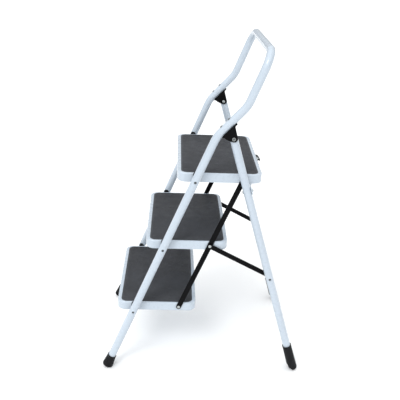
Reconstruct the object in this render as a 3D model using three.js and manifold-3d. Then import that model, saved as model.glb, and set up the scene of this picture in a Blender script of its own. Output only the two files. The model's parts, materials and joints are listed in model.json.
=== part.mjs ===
// Folding household steps: three treads on a tubular front hoop that ends in a hand rail, with a
// rear frame that swings in beneath it. Millimetres, +Z up, +X to the user's right and +Y away
// from the user who climbs. The origin is on the floor, midway between the four feet.

import * as THREE from "three";
import { mergeVertices } from "three/addons/utils/BufferGeometryUtils.js";
import Module from "manifold-3d";

const wasm = await Module();
wasm.setup();

// ---- driving dimensions ----------------------------------------------------------------------

const GAP = 0.3; // between pieces that touch in the real steps
const RAD = Math.PI / 180;

const TUBE_RADIUS = 12.5;
const TUBE_WALL = 1.2;
const FRAME_HALF_WIDTH = 222; // centre of the steps to the axis of a leg
const FOOT_REACH = 323.5; // origin to where a leg's axis meets the floor, front and rear

const FRONT_LEAN = 21.8 * RAD; // of the front legs, from upright
const BEND_HEIGHT = 836; // height of the bend at the top of the straight front leg
const SHOULDER_LEAN = 42.1 * RAD; // of the short length that the hinge bracket sits under
const SHOULDER_LENGTH = 127;
const RAIL_LEAN = 20.8 * RAD; // of the uprights of the hand rail
const RAIL_LENGTH = 165;
const LEG_BEND_RADIUS = 90;
const RAIL_CORNER_RADIUS = 55;

const REAR_LEAN = 17.5 * RAD;
const HINGE_ALONG = 917.4; // main hinge: distance up the front leg's line
const HINGE_BEHIND = 46.5; // and distance behind that line

const FIRST_PIVOT_HEIGHT = 226.9; // of the lowest tread's pivot on the front leg
const STEP_PITCH = 233.1; // from one tread to the next
const TREAD_ABOVE_PIVOT = 19.6; // top of the rubber mat above the pivot
const TREAD_HALF_WIDTH = 200.5;
const TREAD_FRONT = 62.4; // tray's front edge ahead of the leg's line, at the mat's height
const TREAD_REAR = 199.2; // tray's rear edge behind it
const TREAD_CORNER = 27;
const TRAY_DEPTH = 29.5; // height of the tray's skirt
const SHEET = 1.2; // thickness of the tray's steel
const RIM_SIDE = 6.5; // width of the tray's rim beside the mat
const RIM_END = 11.6; // and in front of it and behind it
const MAT_CORNER = 20;
const MAT_THICKNESS = 2.6;

const LINK_PIVOT_BEHIND = 149.7; // tread's link rivet behind the tread's own pivot
const LINK_PIVOT_ABOVE = 5.9;
const LINK_HALF_WIDTH = 8.25;
const BRACE_HALF_WIDTH = 7.8;
const BRACE_DOWN_LEG = 494; // main hinge to the brace's rivet on the rear leg
const STRAP = 3; // thickness of the links and braces
const LINK_INNER_X = 201.5;
const BRACE_INNER_X = 205;

const RIVET_RADIUS = 3;
const RIVET_HOLE = RIVET_RADIUS + GAP;
const RIVET_HEAD = 5;
const SUNK_HEAD = 3.8; // of the rivets let into the legs
const SPACER_RADIUS = 8; // of a bush round its rivet
const SPACER_TOP = { radius: 9.5, behind: 2.5, above: 15 }; // its upper end

const FRONT_CAP = { height: 46, top: 14.6, bottom: 18, edge: 5 };
const REAR_CAP = { height: 103, top: 15.1, bottom: 16.4, edge: 8 };
const CAP_BORE = TUBE_RADIUS + GAP;
const CAP_SOLE = 9; // rubber under the end of the tube
const CAP_FLAT = 0.8; // how far the floor flattens a cap's lowest edge

const BRACKET_PLATE = 2.5;
const BRACKET_INSIDE = 12.9; // leg's axis to the inner face of a cheek
const BRACKET_LOBE = 11.2;

const UPPER_BAR_DOWN_LEG = 177.7; // main hinge to the upper crossbar's bolt
const BAR_RADIUS = 11;
const BAR_ROUND = 140; // half the length of the upper crossbar that is still round
const BAR_FLAT = 160; // from here outward it is squeezed flat
const LOWER_BAR_HEIGHT = 215;

const LATCH_HALF_WIDTH = 10;
const LATCH_NOSE_HALF_WIDTH = 8;
const LATCH_PIN_BEHIND = 5.8; // latch pin behind the top tread's rear skirt
const LATCH_PIN_BELOW = 12.7; // and below the top of its mat
const LATCH_EAR = 5;
const LATCH_HUB = 3.6;

// ---- points worked out from them, each as (y, z) in the side view -----------------------------

const point = (y, z) => new THREE.Vector2(y, z);
const upward = (lean) => point(Math.sin(lean), Math.cos(lean));
const along = (start, direction, distance) => start.clone().addScaledVector(direction, distance);
const behind = (direction) => point(direction.y, -direction.x);

const frontUp = upward(FRONT_LEAN);
const shoulderUp = upward(SHOULDER_LEAN);
const rearUp = upward(-REAR_LEAN);
const rearOut = point(-rearUp.y, rearUp.x).negate();

const frontFloor = point(-FOOT_REACH, 0);
const lowerBend = along(frontFloor, frontUp, BEND_HEIGHT / Math.cos(FRONT_LEAN));
const upperBend = along(lowerBend, shoulderUp, SHOULDER_LENGTH);
const railTop = along(upperBend, upward(RAIL_LEAN), RAIL_LENGTH);
const hinge = along(along(frontFloor, frontUp, HINGE_ALONG), behind(frontUp), HINGE_BEHIND);
const rearFloor = along(hinge, rearUp, -hinge.y / rearUp.y);

const legPointAt = (height) => along(frontFloor, frontUp, height / Math.cos(FRONT_LEAN));
const treadPivot = (index) => legPointAt(FIRST_PIVOT_HEIGHT + index * STEP_PITCH);
const linkPivot = (index) => treadPivot(index).add(point(LINK_PIVOT_BEHIND, LINK_PIVOT_ABOVE));
const bracePivot = along(hinge, rearUp, -BRACE_DOWN_LEG);

const TREADS = ["lower", "middle", "upper"];
const SIDES = [["right", 1], ["left", -1]];

// ---- materials -------------------------------------------------------------------------------

const finish = (color, roughness, metalness) => ({ color, roughness, metalness });
const PAINTED = finish(0xdfe7ee, 0.35, 0.1);
const BLACK_STEEL = finish(0x17181a, 0.45, 0.2);
const RUBBER = finish(0x1b1c1e, 0.8, 0);
const MAT_RUBBER = finish(0x3d3f42, 0.85, 0);
const ZINC = finish(0x8d9494, 0.4, 0.8);
const PLASTIC = finish(0x26282b, 0.55, 0);

// ---- solid helpers ---------------------------------------------------------------------------

function signedVolume(geometry) {
  const position = geometry.attributes.position;
  const corners = geometry.index.array;
  const [a, b, c] = [new THREE.Vector3(), new THREE.Vector3(), new THREE.Vector3()];
  let sum = 0;
  for (let i = 0; i < corners.length; i += 3) {
    a.fromBufferAttribute(position, corners[i]);
    b.fromBufferAttribute(position, corners[i + 1]);
    c.fromBufferAttribute(position, corners[i + 2]);
    sum += a.dot(b.cross(c));
  }
  return sum / 6;
}

// A three.js geometry as a manifold solid that faces outward.
function solid(geometry) {
  const bare = geometry.clone();
  bare.deleteAttribute("normal");
  bare.deleteAttribute("uv");
  const merged = mergeVertices(bare, 1e-4);
  const corners = Uint32Array.from(merged.index.array);
  if (signedVolume(merged) < 0) {
    corners.reverse();
  }
  const vertProperties = Float32Array.from(merged.attributes.position.array);
  return new wasm.Manifold(new wasm.Mesh({ numProp: 3, vertProperties, triVerts: corners }));
}

const union = (...solids) => solids.reduce((whole, piece) => whole.add(piece));
const without = (body, ...tools) => tools.reduce((rest, tool) => rest.subtract(tool), body);

function named(name, body, look) {
  const { vertProperties, triVerts } = body.getMesh();
  const geometry = new THREE.BufferGeometry();
  geometry.setAttribute("position", new THREE.BufferAttribute(vertProperties.slice(), 3));
  geometry.setIndex(new THREE.BufferAttribute(triVerts.slice(), 1));
  geometry.computeVertexNormals();
  const mesh = new THREE.Mesh(geometry, new THREE.MeshStandardMaterial(look));
  mesh.name = name;
  return mesh;
}

// ---- shape helpers ---------------------------------------------------------------------------

const inSideView = (x, p) => new THREE.Vector3(x, p.x, p.y);
const sideways = (direction) => new THREE.Vector3(0, direction.x, direction.y);
const crosswise = new THREE.Vector3(1, 0, 0);

// A straight tube, open at both ends.
function straightTube(radius, origin, direction, from, to, sides = 20) {
  const inner = radius - TUBE_WALL;
  const profile = [[inner, from], [radius, from], [radius, to], [inner, to], [inner, from]];
  return turned(profile, origin, direction, sides);
}

// A turned piece: profile of [radius, distance] points about an axis from origin.
function turned(profile, origin, direction, sides = 12) {
  const points = profile.map(([radius, distance]) => new THREE.Vector2(radius, distance));
  const geometry = new THREE.LatheGeometry(points, sides);
  const turn = new THREE.Quaternion().setFromUnitVectors(new THREE.Vector3(0, 1, 0), direction);
  geometry.applyQuaternion(turn);
  geometry.translate(origin.x, origin.y, origin.z);
  return solid(geometry);
}

const rod = (radius, origin, direction, from, to, sides = 12) =>
  turned([[0, from], [radius, from], [radius, to], [0, to]], origin, direction, sides);

const rodAcross = (radius, p, fromX, toX, sides = 12) =>
  rod(radius, inSideView(0, p), crosswise, fromX, toX, sides);

// A side-view shape pushed across the steps from one x to another.
function plate(shape, fromX, toX, curveSegments = 6) {
  const options = { depth: toX - fromX, bevelEnabled: false, curveSegments };
  const geometry = new THREE.ExtrudeGeometry(shape, options);
  const turn = new THREE.Matrix4().makeBasis(
    new THREE.Vector3(0, 1, 0),
    new THREE.Vector3(0, 0, 1),
    new THREE.Vector3(1, 0, 0),
  );
  geometry.applyMatrix4(turn);
  geometry.translate(fromX, 0, 0);
  return solid(geometry);
}

// A plan-view shape pushed up from one height to another.
function slab(shape, bottom, top, bevel = 0) {
  const options = {
    depth: top - bottom - bevel,
    bevelEnabled: bevel > 0,
    bevelSize: bevel,
    bevelThickness: bevel,
    bevelOffset: -bevel,
    bevelSegments: 3,
    curveSegments: 3,
  };
  const geometry = new THREE.ExtrudeGeometry(shape, options);
  geometry.translate(0, 0, bottom);
  return solid(geometry);
}

// A rectangle with round corners, from its centre and half sizes.
function roundedRectangle(centreY, halfX, halfY, corner) {
  const shape = new THREE.Shape();
  shape.moveTo(-halfX + corner, centreY - halfY);
  shape.absarc(halfX - corner, centreY - halfY + corner, corner, -Math.PI / 2, 0);
  shape.absarc(halfX - corner, centreY + halfY - corner, corner, 0, Math.PI / 2);
  shape.absarc(-halfX + corner, centreY + halfY - corner, corner, Math.PI / 2, Math.PI);
  shape.absarc(-halfX + corner, centreY - halfY + corner, corner, Math.PI, Math.PI * 1.5);
  return shape;
}

// A flat bar's outline: two round ends joined by straight edges.
function strapShape(start, end, halfWidth) {
  const direction = end.clone().sub(start);
  const angle = Math.atan2(direction.y, direction.x);
  const shape = new THREE.Shape();
  shape.absarc(start.x, start.y, halfWidth, angle + Math.PI / 2, angle + Math.PI * 1.5);
  shape.absarc(end.x, end.y, halfWidth, angle - Math.PI / 2, angle + Math.PI / 2);
  return shape;
}

// The centre line of a bent tube: straight lengths joined by arcs, with a ring at each station.
class BentLine extends THREE.Curve {
  constructor(corners, radii) {
    super();
    this.stations = [];
    const first = corners[1].clone().sub(corners[0]).normalize();
    this.stations.push([corners[0], first]);
    for (let i = 1; i < corners.length - 1; i++) {
      this.addArc(corners[i - 1], corners[i], corners[i + 1], radii[i - 1]);
    }
    const [before, end] = corners.slice(-2);
    this.stations.push([end, end.clone().sub(before).normalize()]);
  }

  addArc(before, corner, after, radius) {
    const incoming = corner.clone().sub(before).normalize();
    const outgoing = after.clone().sub(corner).normalize();
    const angle = incoming.angleTo(outgoing);
    const start = corner.clone().addScaledVector(incoming, -radius * Math.tan(angle / 2));
    const axis = incoming.clone().cross(outgoing).normalize();
    const inward = axis.clone().cross(incoming);
    const centre = start.clone().addScaledVector(inward, radius);
    const count = Math.ceil(angle / (9 * RAD));
    for (let i = 0; i <= count; i++) {
      const turn = (angle * i) / count;
      const spoke = inward.clone().negate().applyAxisAngle(axis, turn);
      const heading = incoming.clone().applyAxisAngle(axis, turn);
      this.stations.push([spoke.multiplyScalar(radius).add(centre), heading]);
    }
  }

  blend(t, part) {
    const place = THREE.MathUtils.clamp(t, 0, 1) * (this.stations.length - 1);
    const index = Math.min(Math.floor(place), this.stations.length - 2);
    const [low, high] = [this.stations[index][part], this.stations[index + 1][part]];
    return low.clone().lerp(high, place - index);
  }

  getPoint(t) {
    return this.blend(t, 0);
  }

  getPointAt(t) {
    return this.blend(t, 0);
  }

  getTangentAt(t) {
    return this.blend(t, 1).normalize();
  }
}

// A round bar along such a line.
function bentBar(line, radius, sides = 16) {
  const circle = new THREE.Shape();
  circle.absarc(0, 0, radius, 0, Math.PI * 2);
  const options = {
    extrudePath: line,
    steps: line.stations.length - 1,
    bevelEnabled: false,
    curveSegments: sides / 2,
  };
  return solid(new THREE.ExtrudeGeometry(circle, options));
}

// ---- front hoop ------------------------------------------------------------------------------

const capEnd = (lean, cap) => {
  const lowestRing = (cap.bottom - cap.edge) * Math.sin(lean);
  return (lowestRing + cap.edge - CAP_FLAT) / Math.cos(lean) - cap.edge;
};
const frontTubeStart = capEnd(FRONT_LEAN, FRONT_CAP) + CAP_SOLE;
const rearTubeStart = capEnd(REAR_LEAN, REAR_CAP) + CAP_SOLE;

function hoopLine(overrun = 0) {
  const start = along(frontFloor, frontUp, frontTubeStart - overrun);
  const oneSide = [start, lowerBend, upperBend, railTop];
  const right = oneSide.map((p) => inSideView(FRAME_HALF_WIDTH, p));
  const left = oneSide.map((p) => inSideView(-FRAME_HALF_WIDTH, p)).reverse();
  const bends = [LEG_BEND_RADIUS, LEG_BEND_RADIUS, RAIL_CORNER_RADIUS];
  return new BentLine([...right, ...left], [...bends, ...bends.slice().reverse()]);
}

const shoulderOut = behind(shoulderUp);
const bracketRivets = [["lower", 31], ["upper", 62]];
const bracketRivetPoint = (distance) => along(lowerBend, shoulderUp, distance);
const RECESS_RADIUS = SUNK_HEAD + 0.4;
const RECESS_FLOOR = FRAME_HALF_WIDTH + 9.4; // x where a sunk rivet head is seated

function sunkRivetHole(p, sign) {
  const shaft = rodAcross(RIVET_HOLE, p, sign * 205, sign * 240);
  const recess = rodAcross(RECESS_RADIUS, p, sign * RECESS_FLOOR, sign * 240);
  return shaft.add(recess);
}

function frontHoop() {
  const holes = [];
  for (const [, sign] of SIDES) {
    TREADS.forEach((_, index) => holes.push(sunkRivetHole(treadPivot(index), sign)));
    for (const [, distance] of bracketRivets) {
      const centre = inSideView(sign * FRAME_HALF_WIDTH, bracketRivetPoint(distance));
      holes.push(rod(2.8, centre, sideways(shoulderOut), -20, 20, 12));
    }
  }
  const bore = bentBar(hoopLine(2), TUBE_RADIUS - TUBE_WALL);
  return without(bentBar(hoopLine(), TUBE_RADIUS), bore, ...holes);
}

// ---- rubber feet -----------------------------------------------------------------------------

function footCap(floorPoint, up, lean, cap, x) {
  const end = capEnd(lean, cap);
  const profile = [[0, end]];
  for (let i = 0; i <= 4; i++) {
    const angle = ((i - 4) * Math.PI) / 8;
    const radius = cap.bottom - cap.edge + cap.edge * Math.cos(angle);
    profile.push([radius, end + cap.edge + cap.edge * Math.sin(angle)]);
  }
  profile.push([cap.top, end + cap.height], [CAP_BORE, end + cap.height]);
  profile.push([CAP_BORE, end + CAP_SOLE - GAP], [0, end + CAP_SOLE - GAP]);
  const body = turned(profile, inSideView(x, floorPoint), sideways(up), 20);
  const belowFloor = new THREE.BoxGeometry(80, 120, 20);
  belowFloor.translate(x, floorPoint.x, -10);
  return body.subtract(solid(belowFloor));
}

// ---- hinge brackets --------------------------------------------------------------------------

// A point beside the shoulder, from its distance up from the lower bend and its depth beneath.
const shoulderPoint = (distance, depth) =>
  along(along(lowerBend, shoulderUp, distance), shoulderOut, depth);

function cheekShape() {
  const heel = shoulderPoint(15, 9.6);
  const crown = shoulderPoint(64, 9.6);
  const lobe = hinge.clone().add(point(1, 1.6));
  const lean = Math.atan2(lobe.y - crown.y, lobe.x - crown.x);
  const shape = new THREE.Shape();
  shape.moveTo(heel.x, heel.y);
  shape.lineTo(crown.x, crown.y);
  shape.absarc(lobe.x, lobe.y, BRACKET_LOBE, lean + Math.PI / 2, -98 * RAD, true);
  shape.quadraticCurveTo(hinge.x - 17.4, hinge.y - 7.1, heel.x, heel.y);
  return shape;
}

// A band of the saddle under the shoulder, square in the side view.
function saddleBand(from, to, depth, halfWidth, x) {
  const band = new THREE.Shape();
  const [top, bottom] = [depth, 15];
  const corners = [[from, top], [to, top], [to, bottom], [from, bottom]];
  band.setFromPoints(corners.map(([distance, down]) => shoulderPoint(distance, down)));
  return plate(band, x - halfWidth, x + halfWidth);
}

function hingeBracket(sign) {
  const x = sign * FRAME_HALF_WIDTH;
  const outside = BRACKET_INSIDE + BRACKET_PLATE;
  const cheeks = [
    plate(cheekShape(), x + BRACKET_INSIDE, x + outside),
    plate(cheekShape(), x - outside, x - BRACKET_INSIDE),
  ];
  const saddle = saddleBand(16, 62, 9.6, outside, x).add(saddleBand(12, 70, 11, 9, x));
  const clearance = bentBar(hoopLine(), TUBE_RADIUS + GAP + 0.15, 20);
  const holes = bracketRivets.map(([, distance]) => {
    const centre = inSideView(x, bracketRivetPoint(distance));
    return rod(2.8, centre, sideways(shoulderOut), -20, 20, 12);
  });
  const pinHole = rodAcross(RIVET_HOLE, hinge, x - 25, x + 25);
  return without(union(saddle, ...cheeks), clearance, pinHole, ...holes);
}

// A blind rivet through the tube and the bracket, seen as a low dome on the tube's upper side.
function bracketRivet(sign, distance) {
  const centre = inSideView(sign * FRAME_HALF_WIDTH, bracketRivetPoint(distance));
  const topFace = -TUBE_RADIUS - GAP;
  const bottomFace = 15 + GAP;
  const profile = [
    [0, topFace - 2.2],
    [2.6, topFace - 1.9],
    [4.6, topFace - 0.7],
    [4.6, topFace],
    [2.5, topFace],
    [2.5, bottomFace],
    [4, bottomFace],
    [3.4, bottomFace + 1.6],
    [0, bottomFace + 1.6],
  ];
  return turned(profile, centre, sideways(shoulderOut), 14);
}

// The tubular rivet that the rear leg turns on: a rolled ring outside, a flat head inside.
function hingeRivet(sign) {
  const outside = FRAME_HALF_WIDTH + BRACKET_INSIDE + BRACKET_PLATE + GAP;
  const inside = FRAME_HALF_WIDTH - BRACKET_INSIDE - BRACKET_PLATE - GAP;
  const profile = [
    [0, inside - 1.3],
    [RIVET_HEAD, inside - 1.3],
    [RIVET_HEAD, inside],
    [RIVET_RADIUS, inside],
    [RIVET_RADIUS, outside],
    [5.6, outside],
    [5.6, outside + 1.2],
    [4.6, outside + 2.2],
    [3.2, outside + 2],
    [2.6, outside + 0.8],
    [0, outside + 0.8],
  ];
  return turned(profile, inSideView(0, hinge), new THREE.Vector3(sign, 0, 0));
}

// ---- tread pivots ----------------------------------------------------------------------------

const SKIRT_INNER_X = TREAD_HALF_WIDTH - SHEET;

// A rivet from a sunk head in a leg through to a head inside the tread's skirt.
function treadRivet(index, sign) {
  const profile = [
    [0, SKIRT_INNER_X - GAP - 1.6],
    [RIVET_HEAD, SKIRT_INNER_X - GAP - 1.6],
    [RIVET_HEAD, SKIRT_INNER_X - GAP],
    [RIVET_RADIUS, SKIRT_INNER_X - GAP],
    [RIVET_RADIUS, RECESS_FLOOR + GAP],
    [SUNK_HEAD, RECESS_FLOOR + GAP],
    [SUNK_HEAD, RECESS_FLOOR + 1.6],
    [2.6, RECESS_FLOOR + 2.5],
    [0, RECESS_FLOOR + 2.5],
  ];
  return turned(profile, inSideView(0, treadPivot(index)), new THREE.Vector3(sign, 0, 0));
}

// The black bush that keeps the tread off the leg, hollowed to sit round the tube. It rises from
// the rivet past the tread's edge.
function treadSpacer(index, sign) {
  const [inner, outer] = [sign * (TREAD_HALF_WIDTH + 0.4), sign * (FRAME_HALF_WIDTH - 8)];
  const upper = treadPivot(index).add(point(SPACER_TOP.behind, SPACER_TOP.above));
  const bush = wasm.Manifold.hull([
    rodAcross(SPACER_RADIUS, treadPivot(index), inner, outer, 20),
    rodAcross(SPACER_TOP.radius, upper, inner, outer, 20),
  ]);
  const pivot = inSideView(sign * FRAME_HALF_WIDTH, treadPivot(index));
  const seat = rod(TUBE_RADIUS + GAP, pivot, sideways(frontUp), -30, 30, 32);
  const hole = rodAcross(RIVET_HOLE, treadPivot(index), sign * 190, sign * 230);
  return without(bush, seat, hole);
}

// ---- treads ----------------------------------------------------------------------------------

const treadCentre = (index) => {
  const height = FIRST_PIVOT_HEIGHT + index * STEP_PITCH + TREAD_ABOVE_PIVOT;
  return legPointAt(height).x + (TREAD_REAR - TREAD_FRONT) / 2;
};
const treadHalfDepth = (TREAD_FRONT + TREAD_REAR) / 2;
const treadTop = (index) => FIRST_PIVOT_HEIGHT + index * STEP_PITCH + TREAD_ABOVE_PIVOT;
const trayTop = (index) => treadTop(index) - 0.5;

function trayOutline(index, inset) {
  const corner = TREAD_CORNER - inset;
  const halfX = TREAD_HALF_WIDTH - inset;
  return roundedRectangle(treadCentre(index), halfX, treadHalfDepth - inset, corner);
}

function matOutline(index, gap) {
  const halfX = TREAD_HALF_WIDTH - RIM_SIDE - gap;
  const halfY = treadHalfDepth - RIM_END - gap;
  return roundedRectangle(treadCentre(index), halfX, halfY, MAT_CORNER - gap);
}

// A pressed steel tray: shallow recess on top for the mat, skirt all round with a turned-in lip.
function tray(index) {
  const top = trayTop(index);
  const bottom = top - TRAY_DEPTH;
  const recessFloor = treadTop(index) - MAT_THICKNESS - GAP;
  const blank = slab(trayOutline(index, 0), bottom - 6, top, 4);
  const trim = new THREE.BoxGeometry(500, 400, 20);
  trim.translate(0, treadCentre(index), bottom - 10);
  const recess = slab(matOutline(index, 0), recessFloor, top + 5);
  const hollow = slab(trayOutline(index, SHEET), bottom + SHEET, recessFloor - SHEET);
  const mouth = slab(trayOutline(index, 9), bottom - 5, bottom + 5);
  const body = without(blank, solid(trim), recess, hollow, mouth);
  const holes = [];
  for (const [, sign] of SIDES) {
    holes.push(rodAcross(RIVET_HOLE, treadPivot(index), sign * 190, sign * 210));
    holes.push(rodAcross(RIVET_HOLE, linkPivot(index), sign * 190, sign * 210));
  }
  return without(body, ...holes);
}

function mat(index) {
  return slab(matOutline(index, GAP), treadTop(index) - MAT_THICKNESS, treadTop(index), 0);
}

// The rivet that joins a tread to its long link. The middle one is flush, under the brace.
function linkRivet(index, sign) {
  const outer = LINK_INNER_X + STRAP;
  const flush = index === 1;
  const profile = [
    [0, SKIRT_INNER_X - GAP - 1.6],
    [RIVET_HEAD, SKIRT_INNER_X - GAP - 1.6],
    [RIVET_HEAD, SKIRT_INNER_X - GAP],
    [RIVET_RADIUS, SKIRT_INNER_X - GAP],
    [RIVET_RADIUS, outer + (flush ? 0 : GAP)],
  ];
  if (!flush) {
    profile.push([RIVET_HEAD, outer + GAP], [RIVET_HEAD, outer + 1], [3.6, outer + 1.8]);
  }
  profile.push([0, flush ? outer : outer + 1.8]);
  return turned(profile, inSideView(0, linkPivot(index)), new THREE.Vector3(sign, 0, 0));
}

// ---- links and braces ------------------------------------------------------------------------

// From x values for the right side to a low and a high x on either side.
const span = (sign, inner, outer) => (sign > 0 ? [inner, outer] : [-outer, -inner]);

function link(sign) {
  const shape = strapShape(linkPivot(0), linkPivot(2), LINK_HALF_WIDTH);
  const [low, high] = span(sign, LINK_INNER_X, LINK_INNER_X + STRAP);
  const holes = TREADS.map((_, index) => rodAcross(RIVET_HOLE, linkPivot(index), low - 1, high + 1));
  return without(plate(shape, low, high), ...holes);
}

function brace(sign) {
  const shape = strapShape(linkPivot(1), bracePivot, BRACE_HALF_WIDTH);
  const [low, high] = span(sign, BRACE_INNER_X, BRACE_INNER_X + STRAP);
  const hole = rodAcross(RIVET_HOLE, bracePivot, low - 1, high + 1);
  return plate(shape, low, high).subtract(hole);
}

// The domed head over the brace's upper end. That end is the pivot that the model leaves open.
function braceHead(sign) {
  const face = BRACE_INNER_X + STRAP + GAP;
  const profile = [
    [0, face],
    [RIVET_HEAD, face],
    [RIVET_HEAD, face + 0.7],
    [3.4, face + 1.7],
    [0, face + 1.7],
  ];
  return turned(profile, inSideView(0, linkPivot(1)), new THREE.Vector3(sign, 0, 0));
}

// The rivet through a rear leg that carries the brace's lower end.
function braceRivet(sign) {
  const inner = BRACE_INNER_X - GAP;
  const outer = BRACE_INNER_X + STRAP + GAP;
  const profile = [
    [0, inner - 1.5],
    [RIVET_HEAD, inner - 1.5],
    [RIVET_HEAD, inner],
    [RIVET_RADIUS, inner],
    [RIVET_RADIUS, outer],
    [RIVET_HEAD, outer],
    [RIVET_HEAD, FRAME_HALF_WIDTH - TUBE_RADIUS - GAP],
    [RIVET_RADIUS, FRAME_HALF_WIDTH - TUBE_RADIUS - GAP],
    [RIVET_RADIUS, RECESS_FLOOR + GAP],
    [SUNK_HEAD, RECESS_FLOOR + GAP],
    [SUNK_HEAD, RECESS_FLOOR + 1.6],
    [2.6, RECESS_FLOOR + 2.5],
    [0, RECESS_FLOOR + 2.5],
  ];
  return turned(profile, inSideView(0, bracePivot), new THREE.Vector3(sign, 0, 0));
}

// ---- rear frame ------------------------------------------------------------------------------

const upperBolt = along(hinge, rearUp, -UPPER_BAR_DOWN_LEG);
const lowerBarCentre = along(hinge, rearUp, -(hinge.y - LOWER_BAR_HEIGHT) / rearUp.y);

function rearLeg(sign) {
  const x = sign * FRAME_HALF_WIDTH;
  const length = rearFloor.distanceTo(hinge) - rearTubeStart;
  const leg = straightTube(TUBE_RADIUS, inSideView(x, hinge), sideways(rearUp), -length, 11);
  const pinHole = rodAcross(RIVET_HOLE, hinge, x - 25, x + 25);
  const boltHole = rod(2.8, inSideView(x, upperBolt), sideways(rearOut), -20, 20, 12);
  return without(leg, pinHole, sunkRivetHole(bracePivot, sign), boltHole);
}

// A round bar with flattened ends, bolted across the back of the rear legs.
function upperCrossbar() {
  const face = TUBE_RADIUS + GAP;
  const centre = along(upperBolt, rearOut, face + BAR_RADIUS);
  const bar = rodAcross(BAR_RADIUS, centre, -BAR_ROUND - 2, BAR_ROUND + 2, 20);
  const flatShape = new THREE.Shape();
  const corner = (distance, depth) => along(along(upperBolt, rearUp, distance), rearOut, depth);
  const back = face + 3;
  flatShape.setFromPoints([corner(-13, face), corner(12, face), corner(12, back), corner(-13, back)]);
  const strap = plate(flatShape, -234, 234);
  const middle = new THREE.BoxGeometry(2 * BAR_ROUND, 80, 80);
  middle.translate(0, centre.x, centre.y);
  const ends = strap.subtract(solid(middle));
  const holes = SIDES.map(([, sign]) =>
    rod(2.8, inSideView(sign * FRAME_HALF_WIDTH, upperBolt), sideways(rearOut), 0, 30, 12),
  );
  const bore = rodAcross(BAR_RADIUS - TUBE_WALL, centre, 4 - BAR_ROUND, BAR_ROUND - 4, 20);
  const drain = rod(2.5, inSideView(110, centre), new THREE.Vector3(0, 0, -1), 0, 20, 8);
  const whole = union(bar, ends, barShoulder(centre, 1), barShoulder(centre, -1));
  return without(whole, bore, drain, ...holes);
}

// Where the round bar is squeezed flat: a wedge from the full tube down to the strap.
function barShoulder(centre, sign) {
  const face = TUBE_RADIUS + GAP;
  const wedge = new THREE.Shape();
  wedge.moveTo(sign * BAR_ROUND, -BAR_RADIUS);
  wedge.lineTo(sign * BAR_FLAT, -BAR_RADIUS);
  wedge.lineTo(sign * BAR_FLAT, -BAR_RADIUS + 3);
  wedge.lineTo(sign * BAR_ROUND, BAR_RADIUS * 0.6);
  const depth = 18;
  const geometry = new THREE.ExtrudeGeometry(wedge, { depth, bevelEnabled: false });
  const frame = new THREE.Matrix4().makeBasis(crosswise, sideways(rearOut), sideways(rearUp));
  geometry.translate(0, 0, -depth / 2);
  geometry.applyMatrix4(frame);
  const place = inSideView(0, along(upperBolt, rearOut, face + BAR_RADIUS));
  geometry.translate(place.x, place.y, place.z);
  return solid(geometry);
}

function crossbarBolt(sign) {
  const centre = inSideView(sign * FRAME_HALF_WIDTH, upperBolt);
  const front = -TUBE_RADIUS - GAP;
  const back = TUBE_RADIUS + GAP + 3 + GAP;
  const profile = [
    [0, front - 2.8],
    [2.8, front - 2.5],
    [4.6, front - 0.8],
    [4.6, front],
    [2.5, front],
    [2.5, back],
    [5.2, back],
    [5.2, back + 2.2],
    [3, back + 3.4],
    [0, back + 3.4],
  ];
  return turned(profile, centre, sideways(rearOut), 14);
}

// A straight bar let in between the rear legs, its ends shaped to their curve.
function lowerCrossbar() {
  const middle = inSideView(0, lowerBarCentre);
  const bar = straightTube(BAR_RADIUS, middle, crosswise, -FRAME_HALF_WIDTH, FRAME_HALF_WIDTH);
  const seats = SIDES.map(([, sign]) => {
    const legCentre = inSideView(sign * FRAME_HALF_WIDTH, lowerBarCentre);
    return rod(TUBE_RADIUS + GAP, legCentre, sideways(rearUp), -30, 30, 32);
  });
  return without(bar, ...seats);
}

// ---- latch behind the top tread --------------------------------------------------------------

const skirtFace = treadCentre(2) + treadHalfDepth;
const latchPin = point(skirtFace + LATCH_PIN_BEHIND, treadTop(2) - LATCH_PIN_BELOW);

function latchBracket() {
  const back = new THREE.Shape();
  const front = skirtFace + GAP;
  const [low, high] = [latchPin.y - LATCH_EAR, latchPin.y + LATCH_EAR];
  const corners = [[front, low], [front + 1.6, low], [front + 1.6, high], [front, high]];
  back.setFromPoints(corners.map(([y, z]) => point(y, z)));
  const ear = new THREE.Shape();
  ear.moveTo(front, low);
  ear.lineTo(latchPin.x, low);
  ear.absarc(latchPin.x, latchPin.y, LATCH_EAR, -Math.PI / 2, Math.PI / 2);
  ear.lineTo(front, high);
  const outer = LATCH_HALF_WIDTH + 2.4;
  const inner = LATCH_HALF_WIDTH + 0.4;
  const hole = rodAcross(2.3, latchPin, -30, 30, 12);
  const ears = [plate(ear, inner, outer), plate(ear, -outer, -inner)];
  return union(plate(back, -outer, outer), ...ears).subtract(hole);
}

function latchPinRod() {
  const end = LATCH_HALF_WIDTH + 2.4 + GAP;
  const profile = [[0, -end - 1.2], [3.4, -end - 1.2], [3.4, -end], [2, -end]];
  profile.push([2, end], [3.4, end], [3.4, end + 1.2], [0, end + 1.2]);
  return turned(profile, inSideView(0, latchPin), crosswise, 12);
}

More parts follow.
